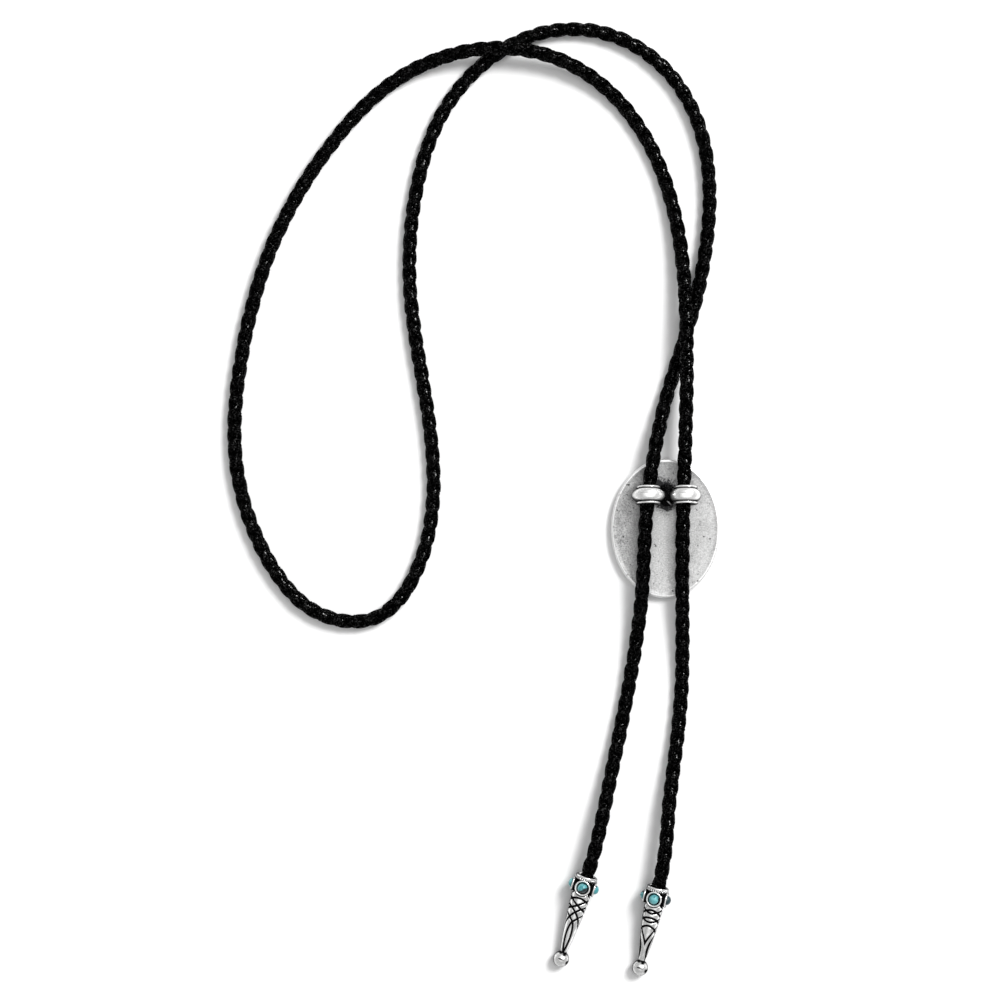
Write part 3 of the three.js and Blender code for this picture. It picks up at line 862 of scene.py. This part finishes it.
# Turquoise: colours, scales per metre and ranges of noise
stoneLook = {
    "deep": (0.045, 0.25, 0.28), "pale": (0.17, 0.46, 0.48), "matrix": (0.008, 0.009, 0.014),
    "cloudScale": 520, "cloudRange": (0.3, 0.7), "veinScale": 360, "veinWidth": 0.055,
    "veinPatches": 240, "patchRange": (0.5, 0.6), "raggedScale": 1100, "ragged": 1.6,
    "matrixRange": (0.5, 0.64), "matrixStrength": 0.92, "markSoft": 0.35,
    "rough": 0.22, "cloudRough": 0.2, "relief": 0.00006,
}


# Cabochon: a low dome on a short wall, a little uneven, dark on the far side of its mark
def cabochon(seed, mark):
    radius, base, top = tip["stoneRadius"], tip["stoneSeat"], tip["stoneTop"]
    wall = base + 0.3
    dome = [(radius * math.cos(a), wall + (top - wall) * math.sin(a) ** 0.92, 0)
            for a in np.linspace(0, math.pi / 2, 22)[:-1]]
    rows = [(0, base, 0), (radius * 0.95, base, 0), (radius, base + 0.12, 0), *dome, (0, top, 0)]
    points, faces, _ = turned(np.array(rows), 56)
    angle = np.arctan2(points[:, 1], points[:, 0])
    points[:, :2] *= (1 + 0.02 * np.sin(2 * angle + seed) + 0.012 * np.sin(3 * angle + 2 * seed))[:, None]
    direction, begins = math.radians(mark[0]), mark[1]
    reach = (points[:, 0] * math.cos(direction) + points[:, 1] * math.sin(direction)) / radius
    return points, faces, smoothStep(reach, begins - stoneLook["markSoft"], begins + stoneLook["markSoft"])


# Turquoise: two blues in soft clouds, dark matrix with a ragged border, a few dark veins, and a polish
def turquoiseFinish():
    finish = Finish("turquoise", Coat_Weight=0.15, Coat_Roughness=0.15, Specular_IOR_Level=0.35)
    cloud = finish.noise(stoneLook["cloudScale"], 4.0, 0.6, 0.4)
    ragged = (finish.noise(stoneLook["raggedScale"], 3.0, 0.6) - 0.5) * stoneLook["ragged"]
    matrix = finish.between(finish.attribute("dark") + ragged, *stoneLook["matrixRange"])
    patches = finish.between(finish.noise(stoneLook["veinPatches"], 2.0), *stoneLook["patchRange"])
    vein = (1 - finish.between(finish.cells(stoneLook["veinScale"]), 0.0, stoneLook["veinWidth"])) * patches
    color = finish.mix(finish.between(cloud, *stoneLook["cloudRange"]), stoneLook["deep"], stoneLook["pale"])
    color = finish.mix((vein + matrix * stoneLook["matrixStrength"]).clip(), color, stoneLook["matrix"])
    return finish.feed(Base_Color=color, Roughness=stoneLook["rough"] + cloud * stoneLook["cloudRough"],
                       Normal=finish.bump(cloud - vein, stoneLook["relief"], 0.5))


tipSilver = silverFinish("castSilver", (0.96, 0.96, 0.955), {
    "rough": 0.22, "metal": 0.88, "cloud": 0.2, "speckle": 0.45, "steep": 1.35,
    "grain": 1300, "relief": 0.00003})
turquoise = turquoiseFinish()
for side in ("left", "right"):
    place = tipMatrix(side)
    cast = [tipSkin(side), *rims(), *bandTrim()]
    cast += [moved(stoneMatrix(i), bezel()) for i in range(tip["stones"])]
    piece = makePiece(f"cast_tip_{side}", [moved(place, part) for part in cast], tipSilver)
    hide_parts(f"tip_{side}")
    for i in range(tip["stones"]):
        stone = moved(place @ stoneMatrix(i), cabochon(i + 5 * len(side), stoneMarks[side][i]))
        stonePiece = makePiece(f"cabochon_{side}_{i + 1}", [stone], turquoise)
        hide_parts(f"stone_{side}_{i + 1}")
    print("tip", side, len(piece.data.polygons), "faces")


# White table top, in metres
table = {
    "half": 3, "drop": 0.0001, "colors": ((0.9, 0.9, 0.9), (0.92, 0.92, 0.92)), "rough": 0.8, "uneven": 0.1,
}


def tableFinish():
    finish = Finish("whiteTable", Specular_IOR_Level=0.1)
    cloud = finish.noise(3, 2.0)
    return finish.feed(Base_Color=finish.mix(cloud, *table["colors"]),
                       Roughness=table["rough"] + cloud * table["uneven"])


floorMesh = bpy.data.meshes.new("table_top")
floorCorners = [(x * table["half"], y * table["half"], -table["drop"])
                for x, y in ((-1, -1), (1, -1), (1, 1), (-1, 1))]
floorMesh.from_pydata(floorCorners, [], [(0, 1, 2, 3)])
floorMesh.materials.append(tableFinish())
floor = bpy.data.objects.new("table_top", floorMesh)
bpy.context.scene.collection.objects.link(floor)

# Light: a soft box at the upper right, and a room that is bright overhead, dim half way down and pale
# near the table, with a thin darker bar overhead
light = {
    "power": 92, "size": 1.1, "distance": 3.0, "azimuth": 42, "height": 47,
    "overhead": 1.2, "middle": 0.3, "low": 0.5, "overheadFrom": 0.66, "overheadTo": 0.92,
    "lowFrom": 0.25, "lowTo": 0.5, "lean": (0.1, 0.09, 0.99),
    "bar": 0.45, "barHalf": 0.02, "barSoft": 0.05, "barAt": 0.03,
}

around, up = math.radians(light["azimuth"]), math.radians(light["height"])
aim = Vector((math.cos(up) * math.cos(around), math.cos(up) * math.sin(around), math.sin(up)))
lamp = bpy.data.lights.new("soft_box", "AREA")
lamp.shape = "SQUARE"
lamp.size = light["size"]
lamp.energy = light["power"]
softBox = bpy.data.objects.new("soft_box", lamp)
softBox.location = Vector((view["x"] * mm, view["y"] * mm, 0)) + aim * light["distance"]
softBox.rotation_euler = aim.to_track_quat("Z", "Y").to_euler()
bpy.context.scene.collection.objects.link(softBox)

room = bpy.data.worlds.new("pale_room")
room.use_nodes = True
walls = Nodes(room.node_tree, "Generated")
facing = walls.node("ShaderNodeVectorMath", {"operation": "DOT_PRODUCT"},
                    {0: walls.place, 1: light["lean"]}, "Value")
northward = walls.node("ShaderNodeSeparateXYZ", {}, {0: walls.place}, 1) - light["barAt"]
besideBar = walls.between(northward.calc("ABSOLUTE", northward), light["barHalf"], light["barSoft"])
above = walls.between(facing, light["overheadFrom"], light["overheadTo"])
below = 1 - walls.between(facing, light["lowFrom"], light["lowTo"])
overhead = above * (light["overhead"] - light["middle"])
low = below * (light["low"] - light["middle"])
strength = (overhead + low + light["middle"]) * (besideBar * (1 - light["bar"]) + light["bar"])
background = room.node_tree.nodes["Background"]
background.inputs["Color"].default_value = (1, 1, 1, 1)
room.node_tree.links.new(strength.output, background.inputs["Strength"])
bpy.context.scene.world = room
bpy.context.scene.view_settings.view_transform = "Standard"
bpy.context.scene.view_settings.look = "None"
print("stage done")
